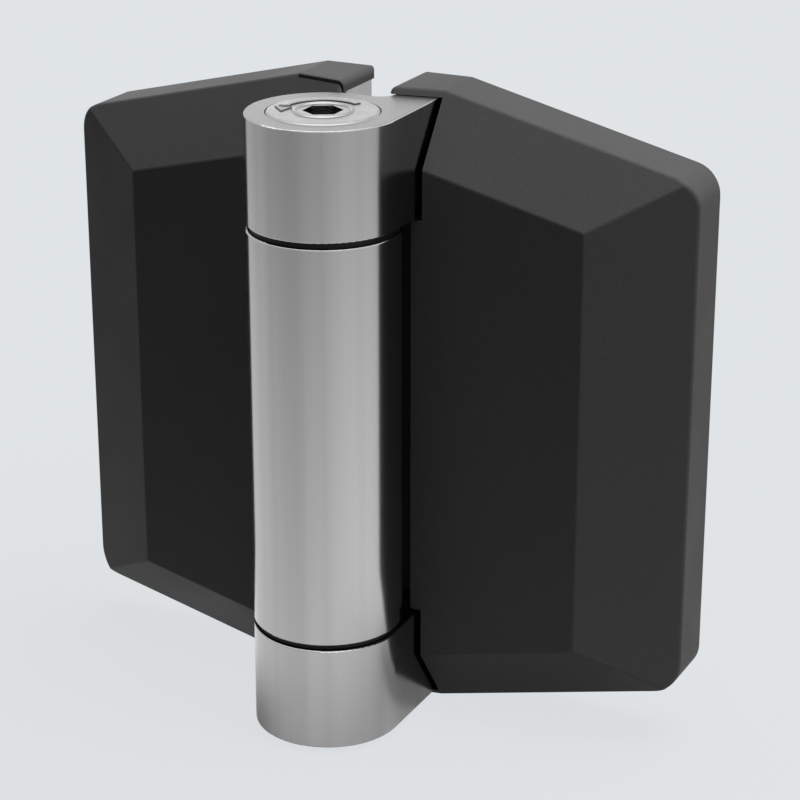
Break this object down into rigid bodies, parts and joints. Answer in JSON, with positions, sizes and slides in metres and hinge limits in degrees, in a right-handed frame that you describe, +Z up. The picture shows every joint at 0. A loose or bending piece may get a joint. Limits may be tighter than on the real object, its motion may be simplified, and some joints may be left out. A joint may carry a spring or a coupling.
{
  "type": "face fit hinge",
  "caption": "Self-closing face fit gate hinge: satin barrel with a key-set spring adjuster, carried forward of leaves hidden under bevelled black covers.",
  "frame": {"origin": "middle of the post leaf's four fixing holes, on the leaf's back face", "axes": "+X from the gate leaf towards the post leaf, +Y into the post, +Z up along the hinge axis"},
  "size_m": [0.1194, 0.0417, 0.1138],
  "materials": {
    "leaf_metal": "satin anodised",
    "cover_plastic": "fine satin",
    "bush_plastic": "plain moulded",
    "pivot_steel": "turned",
    "screw_steel": "plain",
    "spring_steel": "drawn wire",
    "seal_rubber": "plain"
  },
  "bodies": {
    "post": {"post_leaf": "leaf_metal", "post_cover": "cover_plastic", "adjuster_screw": "screw_steel", "lower_pivot": "pivot_steel", "pivot_seal": "seal_rubber", "pivot_screw": "screw_steel"},
    "gate": {"gate_leaf": "leaf_metal", "gate_cover": "cover_plastic", "upper_bush": "bush_plastic", "lower_bush": "bush_plastic", "spring_anchor": "pivot_steel", "anchor_screw": "screw_steel", "torsion_spring": "spring_steel"},
    "adjuster": {"tension_adjuster": "pivot_steel", "adjuster_seal": "seal_rubber"}
  },
  "joints": [
    {"name": "gate_swing", "type": "hinge", "parent": "post", "child": "gate", "pos_m": [-0.034, -0.0285, 0], "axis": [0, 0, 1], "range_deg": [0, 180], "stiffness_Nm_per_rad": 1.25, "springref_deg": -45.84, "deforming": ["torsion_spring"]},
    {"name": "tension_adjust", "type": "hinge", "parent": "post", "child": "adjuster", "pos_m": [-0.034, -0.0285, 0], "axis": [0, 0, 1], "range_deg": [-270, 0], "deforming": ["torsion_spring"]}
  ]
}
